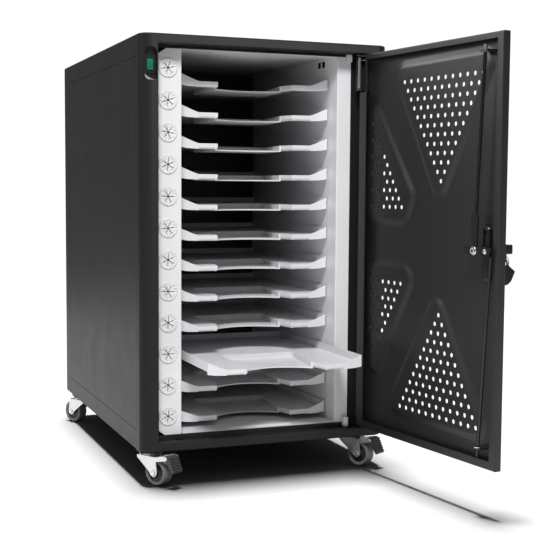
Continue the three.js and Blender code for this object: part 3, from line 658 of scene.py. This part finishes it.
d = box(dx0, dx1, 0, dt, dz0, dz1)
round_edges(d, 2.4, 4, lambda c: c.y < 0.01)
round_edges(d, 2.4, 4, lambda c: c.y > dt - 0.01)
d = sub(d, box(dx0 + T, dx1 - T, T, dt - T, dz0 + T, dz1 - T), box(dx0 + 14, dx1 - 24, 10, 20, dz0 + 14, dz1 - 10), box(425, dx1 + 1, 13, 16, 652, dz1))
cuts = []
for outline, holes in zip(FIELDS, HOLES):
    o = ccw([P(*q) for q in outline])
    core = offset(o, -13)
    steps = [k / 7 for k in range(8)]
    up = rings([(0.4, round_offset(core, 13 + 17))] + [(T + 4.6 * ease(s), round_offset(core, 13 + 17 * (1 - s))) for s in steps])
    up = both(up, box(dx0 + 0.7, dx1 - 0.7, -5, 20, dz0 + 0.7, dz1 - 0.7))
    down = rings([(-3, round_offset(core, 13 + 17))] + [(4.6 * ease(s), round_offset(core, 13 + 17 * (1 - s))) for s in steps])
    down = both(down, box(dx0 + 2.2, dx1 - 2.2, -5, 20, dz0 + 2.2, dz1 - 2.2))
    d = add(d, up)
    cuts.append(down)
    for u, z in holes:
        c = P(u, z)
        if all(((o[(i + 1) % len(o)][0] - a[0]) * (c[1] - a[1]) - (o[(i + 1) % len(o)][1] - a[1]) * (c[0] - a[0]))
               / math.hypot(o[(i + 1) % len(o)][0] - a[0], o[(i + 1) % len(o)][1] - a[1]) > 4.6 for i, a in enumerate(o)):
            cuts.append(rod("y", c[0], c[1], 4.0, -4, 9, 16))
for q in cuts[:]:
    if len(q.data.vertices) > 40:
        cuts.remove(q)
        d = sub(d, q)
d = sub(d, merge(cuts))
d = add(d, box(64, 84, 1, 23.5, 692.5, 695.5, 0.5), box(62.5, 82.5, 1, 23.5, 50, 53, 0.5))
d = sub(d, rod("z", 435, 5, 3.3, dz1 - 4, dz1 + 2, 16), rod("z", 435, 5, 3.3, dz0 - 2, dz0 + 4, 16),
        rod("z", 74, 18.4, 3.9, 690, 698, 20), rod("z", 72.5, 18.4, 3.9, 48, 55, 20), rod("y", 78, 374, 7, -1, 4, 24))
piece(d, "door_pan", "door", DOOR_PAINT, matrix=DOOR, replaces=["door_panel"], smooth=33)

o = sub(add(box(440.7, 442.2, 1.8, 24, 655, 719.7), box(427, 442.2, 2.6, 24, 655, 658), box(427, 442.2, 2.6, 24, 717.2, 719.7)), rod("z", 435, 5, 3.3, 650, 725, 20))
piece(o, "upper_hinge_bracket_folded", "door", DOOR_PAINT, matrix=DOOR, replaces=["upper_hinge_bracket"], bevel=0.3)
o = add(rod("z", 435, 5, 3, 651, 729, 24, 0.6), rod("z", 435, 20.6, 3.2, 659, 716.2, 28, 0.8), rod("y", 435, 712.2, 2.4, 5, 20, 16))
piece(o, "upper_hinge_pin_bent", "door", CHROME, matrix=DOOR, replaces=["upper_hinge_pin"], smooth=50)
o = add(rod("z", 435, 5, 3, 9, 24.5, 24, 0.6), rod("z", 435, 5, 3.3, 21.2, 25, 24))
piece(o, "lower_hinge_pin_turned", "door", CHROME, matrix=DOOR, replaces=["lower_hinge_pin"], smooth=50)

# ---------------------------------------------------------------- lock
stadium = lambda x, za, zb, r, n=12: arc(x, za, r, 180, 360, n) + arc(x, zb, r, 0, 180, n)
o = rings([(1.7, stadium(77, 331, 406, 10)), (2.4, stadium(77, 331, 406, 10)), (6.5, stadium(77, 331, 406, 8.6)), (9.0, stadium(77, 331, 406, 6.0)), (9.9, stadium(77, 331, 406, 3.2))])
o = sub(o, rod("y", 77, 403, 4.2, 8.4, 12, 20))
o = add(o, rings([(-3.0, stadium(78, 362, 386, 17.6)), (-2.4, stadium(78, 362, 386, 18.7)), (-0.3, stadium(78, 362, 386, 19))]),
        rod("y", 78, 374, 6.6, -1, 3, 24), rod("y", 78, 374, 8.5, 9, 14.5, 24, 1.0), rod("y", 78, 374, 6.4, 14, 18, 6))
o = sub(o, rod("y", 78, 374, 4.4, -5, 20, 20))
piece(o, "lock_housing_body", "door", LOCK, matrix=DOOR, replaces=["lock_housing"], smooth=35)
o = add(rod("y", 78, 374, 4, -22, 21.5, 20, 0.4), rod("y", 78, 374, 7.5, -22, -3.4, 24, 0.8), box(62, 94, -38, -20, 368.2, 384, 2.2, 3), box(70, 86, -32, -28, 354.6, 370, 1.2, 2))
o = sub(o, rod("y", 78, 362.6, 4.8, -34, -26, 20))
piece(o, "turn_handle_cast", "lock_handle", LOCK, matrix=DOOR, replaces=["turn_handle"], smooth=35)
o = add(prism("y", arc(103, 374, 7, -90, 90, 10) + arc(53, 374, 7, 90, 270, 10), 21.8, 24.3), rod("y", 86, 374, 2.4, 24, 27.8, 16, 0.4))
piece(o, "lock_cam_plate", "lock_handle", LOCK, matrix=DOOR, replaces=["lock_cam"], bevel=0.3)
o = sub(lathe([(2.6, 24.3), (7.0, 24.3), (7.2, 24.9), (6.6, 25.3), (5.8, 25.5), (5.6, 27.2), (4.8, 27.7), (2.6, 27.7)], 24, "y", (86, 0, 374), True), box(76, 77, 20, 21, 374, 375))
piece(o, "lock_cam_nut", "lock_handle", CHROME, matrix=DOOR, smooth=30)
o = lathe([(0, 24.3), (4.2, 24.3), (4.4, 25.2), (3.0, 26.4), (0, 26.7)], 20, "y", (58, 0, 374))
piece(o, "lock_cam_rivet", "lock_handle", CHROME, matrix=DOOR, smooth=40)

UR = [P(354.5, 426), P(370.6, 704)]
o = add(tube([(UR[0][0], 18.4, UR[0][1]), (UR[1][0], 18.4, UR[1][1])], 3.0, 16, 1),
        prism("y", fillet(ccw([P(*q) for q in [(344, 432), (363, 432), (360.5, 368), (350, 368)]]), 2, 4), 18, 20.5))
piece(o, "upper_lock_rod_bar", "upper_rod", LOCK, matrix=DOOR, replaces=["upper_lock_rod"], smooth=35)
u = (Vector((UR[1][0], 0, UR[1][1])) - Vector((UR[0][0], 0, UR[0][1]))).normalized()
e = Vector((UR[1][0], 18.4, UR[1][1]))
piece(tube([e - u * 8, e - u * 0.4], 3.12, 16, 1), "upper_lock_rod_tip", "upper_rod", CHROME, matrix=DOOR, smooth=50)
for name, x, z in (("upper_guide_washer", 74.2, 691.0), ("lower_guide_washer", 72.4, 53.0)):
    o = lathe([(3.9, z), (7.2, z), (7.2, z + 1.3), (3.9, z + 1.3)], 32, "z", (x, 18.4, 0), True)
    piece(o, name, "door", CHROME, matrix=DOOR, smooth=40)
LR = [P(394, 366), P(370.5, 38)]
o = add(tube([(LR[0][0], 18.4, LR[0][1]), (LR[1][0], 18.4, LR[1][1])], 3.0, 16, 1),
        prism("y", arc(*P(391, 374), 6.5, 0, 337.5, 15), 18, 20.5), box(50, 54.6, 18, 20.5, 362, 372))
piece(o, "lower_lock_rod_bar", "lower_rod", LOCK, matrix=DOOR, replaces=["lower_lock_rod"], smooth=35)

SHIELD = fillet([(-23, 349.5), (-37, 349.5), (-51.5, 339), (-43.5, 323), (-35.5, 317), (-24.5, 317), (-16.5, 323), (-8.5, 339)], [3, 3, 2.5, 8, 8, 8, 8, 2.5], 5)
o = sub(prism("x", SHIELD, 71.5, 84.5), rod("z", 78, -19.5, 2.9, 340, 352, 16), rod("z", 78, -40.5, 2.9, 340, 352, 16))
piece(o, "padlock_case", "padlock", LOCK, matrix=DOOR, replaces=["padlock_body"], bevel=0.9, segments=3)
hoop = [(78, -19.5, 340.5), (78, -19.5, 347), (78, -19.5, 353)] + [(78, -30 + 10.5 * math.cos(math.radians(a)), 354 + 10.5 * math.sin(math.radians(a))) for a in range(15, 180, 15)] + [(78, -40.5, 353), (78, -40.5, 347), (78, -40.5, 340.5)]
piece(tube(hoop, 2.5, 16, 3), "padlock_shackle_hoop", "padlock", CHROME, matrix=DOOR, replaces=["padlock_shackle"], smooth=60)

# ---------------------------------------------------------------- casters, about the swivel axis with the wheel trailing along +X
TRAIL, AXLE, C = 22, -37, 12.5


def cheeks(pts, t0, t1, r=1.0):
    return [round_edges(prism("y", ccw(pts), a, b), 0.6, 2, lambda c: True, 0.7) for a, b in ((t0, t1), (-t1, -t0))]


def fork(braked):
    race = lathe([(0, -8.6), (17.5, -8.6), (19.2, -7.8), (20, -6.6), (19.2, -5.6), (18.2, -5.4), (19.4, -5.0), (19.9, -4.0), (19.0, -2.9), (17.0, -2.35), (0, -2.35)], 40)
    crown = fillet([(-19, -C - 2.5), (27, -C - 2.5), (27, C + 2.5), (-19, C + 2.5)], [7, 3, 3, 7], 4)
    f = add(race, prism("z", crown, -11, -8.4), rod("z", 0, 0, 4, -8, 7.5, 16, 0.5), rod("z", 0, 0, 6, 1.8, 7, 6))
    cheek = fillet([(-19, -8.5), (27, -8.5), (30.5, -37), (28, -42.5), (22, -45), (16, -42.5), (11, -36), (-19, -13.5)], [1, 2, 3, 4, 5, 4, 4, 3], 4)
    f = add(f, *cheeks(cheek, C, C + 2.5))
    for s in (1, -1):
        h = lathe([(0, s * (C + 2.2)), (5.2, s * (C + 2.2)), (5.2, s * (C + 3.0)), (4.4, s * (C + 4.4)), (2.6, s * (C + 4.4)), (2.0, s * (C + 3.4)), (0, s * (C + 3.3))], 20, "y", (TRAIL, 0, AXLE))
        f = add(f, h)
    f = add(f, rod("y", TRAIL, AXLE, 4, -C - 2.6, C + 2.6, 20))
    if braked:
        arm = fillet([(24, -9), (25, -17), (50, -12), (56, -8), (54, -4), (46, -3.4), (26, -8)], [1, 3, 3, 2.5, 2.5, 3, 1], 4)
        f = add(f, *cheeks(arm, C, C + 2.5))
        f = add(f, rod("y", TRAIL + 30.5, -7.6, 2, -C - 2.6, C + 2.6, 16))
        for s in (1, -1):
            f = add(f, lathe([(0, s * (C + 2.2)), (3.4, s * (C + 2.2)), (3.2, s * (C + 3.0)), (1.8, s * (C + 3.2)), (0, s * (C + 3.2))], 16, "y", (TRAIL + 30.5, 0, -7.6)))
    return f


FORKS = {}
for braked in (True, False):
    o = piece(fork(braked), "fork_shape", "cabinet", ZINC, matrix=Matrix.Scale(0.001, 4), smooth=35)
    FORKS[braked] = o.data
    bpy.data.objects.remove(o)
prof = [(17.3, -9.2), (18.5, -10.2), (20.5, -11.1), (22.3, -11.1), (23.6, -10.4), (24.4, -9.0), (24.85, -6.0), (25.0, 0), (24.85, 6.0), (24.4, 9.0), (23.6, 10.4), (22.3, 11.1), (20.5, 11.1), (18.5, 10.2), (17.3, 9.2)]
o = piece(lathe(prof, 56, "y", (0, 0, 0), True), "tyre_shape", "cabinet", TYRE, matrix=Matrix.Scale(0.001, 4), smooth=60)
tyre = o.data
bpy.data.objects.remove(o)
hub = lathe([(4.3, -11), (7.6, -11), (8.2, -10.4), (8.6, -8.2), (11, -7.2), (14.2, -7.4), (15.4, -9.0), (17.2, -9.5), (17.25, -9.0), (17.25, 9.0), (17.2, 9.5), (15.4, 9.0), (14.2, 7.4), (11, 7.2), (8.6, 8.2), (8.2, 10.4), (7.6, 11), (4.3, 11)], 56, "y", (0, 0, 0), True)
o = piece(hub, "hub_shape", "cabinet", HUB, matrix=Matrix.Scale(0.001, 4), smooth=40)
hub = o.data
bpy.data.objects.remove(o)
pp = [(49.4, -4.8), (53.5, -3.8), (56.5, -4.6)]
for i in range(6):
    s = (i + 0.5) / 6
    pp += [(57 + 12 * s - 1.6, -4.6 - 26 * s + 2.1), (57 + 12 * s - 0.1, -4.7 - 26 * s + 1.9), (58.4 + 12 * s, -4.9 - 26 * s + 0.4), (57 + 12 * s, -5.2 - 26 * s - 0.6)]
pp += [(68.4, -31.4), (67.4, -32.6), (64.8, -32.8), (50, -10.8)]
ped = sub(prism("y", ccw(pp), -12, 12), rod("y", TRAIL + 30.5, -7.6, 2.3, -14, 14, 16))
o = piece(ped, "pedal_shape", "cabinet", PEDAL, matrix=Matrix.Scale(0.001, 4), smooth=30)
ped = o.data
bpy.data.objects.remove(o)
for name, (x, y, turn) in CASTERS.items():
    M = CASE @ Matrix.Translation((x, y, 0)) @ Matrix.Rotation(math.radians(turn), 4, "Z")
    braked = name.startswith("front")
    todo = [(FORKS[braked], "caster_fork", "swivel", "zinc", M, True), (tyre, "wheel_tyre", "wheel", "wheel_grey", M @ Matrix.Translation((TRAIL, 0, AXLE)), "caster_wheel"),
            (hub, "wheel_hub", "wheel", "wheel_grey", M @ Matrix.Translation((TRAIL, 0, AXLE)), None)]
    if braked:
        todo.append((ped, "brake_pedal", "pedal", "black_plastic", M, True))
    for me, part, body, slot, mw, rep in todo:
        ob = link(me.copy(), f"{name}_{part}_shaped")
        ob.data.transform(mw @ Matrix.Scale(1000.0, 4))
        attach(ob, f"{name}_{body}")
        if rep:
            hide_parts(f"{name}_{part if rep is True else rep}")

# ---------------------------------------------------------------- stage and light
bm = bmesh.new()
bmesh.ops.create_circle(bm, cap_ends=True, segments=96, radius=3.0)
me = bpy.data.meshes.new("floor")
bm.to_mesh(me)
bm.free()
floor = link(me, "floor")

fm = bpy.data.materials.new("floor")
fm.use_nodes = True
fb = fm.node_tree.nodes["Principled BSDF"]
fb.inputs["Base Color"].default_value = (0.15, 0.15, 0.15, 1)
fb.inputs["Roughness"].default_value = 0.9
fb.inputs["Specular IOR Level"].default_value = 0.0
me.materials.append(fm)

world = bpy.data.worlds.new("world")
scene.world = world
world.use_nodes = True
nt = world.node_tree
bg = nt.nodes["Background"]
bg.inputs["Color"].default_value = (1, 1, 1, 1)
bg.inputs["Strength"].default_value = 0.22
white = nt.nodes.new("ShaderNodeBackground")
white.inputs["Color"].default_value = (1, 1, 1, 1)
white.inputs["Strength"].default_value = 1.05
pick = nt.nodes.new("ShaderNodeMixShader")
path = nt.nodes.new("ShaderNodeLightPath")
nt.links.new(path.outputs["Is Camera Ray"], pick.inputs[0])
nt.links.new(bg.outputs[0], pick.inputs[1])
nt.links.new(white.outputs[0], pick.inputs[2])
nt.links.new(pick.outputs[0], nt.nodes["World Output"].inputs["Surface"])

floor_only = bpy.data.collections.new("lit_floor")
floor_only.objects.link(floor)
not_floor = bpy.data.collections.new("unlit_floor")
not_floor.objects.link(floor)
not_floor.collection_objects[0].light_linking.link_state = "EXCLUDE"


def lamp(name, kind, energy, loc, aim, size=1.0, size_y=None, angle=0.5, on_floor=False):
    l = bpy.data.lights.new(name, kind)
    l.energy = energy
    if kind == "SUN":
        l.angle = angle
    else:
        l.shape, l.size, l.size_y = "RECTANGLE", size, size_y or size
    ob = bpy.data.objects.new(name, l)
    scene.collection.objects.link(ob)
    ob.visible_camera = False
    d = Vector(aim) - Vector(loc)
    ob.matrix_world = Matrix.Translation(loc) @ d.to_track_quat("-Z", "Y").to_matrix().to_4x4()
    ob.light_linking.receiver_collection = floor_only if on_floor else not_floor
    return ob


sun = lamp("floor_light", "SUN", 23.5, (-0.015, 0.25, 3.0), (0, 0, 0), angle=0.19, on_floor=True)
no_shadow = bpy.data.collections.new("no_floor_shadow")
no_shadow.objects.link(bpy.data.objects["tray_10_sheet"])
no_shadow.collection_objects[0].light_linking.link_state = "EXCLUDE"
sun.light_linking.blocker_collection = no_shadow
lamp("key", "AREA", 90, (-0.8, -2.0, 2.78), (0.0, 0.0, 0.4), 0.7, 0.7)
lamp("left", "AREA", 8, (-2.1, 0.2, 1.6), (0.0, 0.0, 0.5), 0.9, 0.9)
lamp("back_right", "AREA", 14, (1.9, 1.4, 1.6), (0.1, 0.0, 0.4), 1.0, 1.4)


def only(light, *names):
    group = bpy.data.collections.new("lit_sheets")
    for n in names:
        group.objects.link(bpy.data.objects[n])
    light.light_linking.receiver_collection = group


only(lamp("rail_sheen", "AREA", 34, (0.96, -2.95, 1.35), (-0.06, -0.15, 0.79), 0.9, 0.5), "front_frame_folded")
only(lamp("door_sheen", "AREA", 26, (-1.35, 0.8, 1.65), (0.2, -0.3, 0.5), 1.5, 0.8), "door_pan")

scene.view_settings.view_transform = "Standard"
scene.view_settings.look = "None"
scene.cycles.use_denoising = True
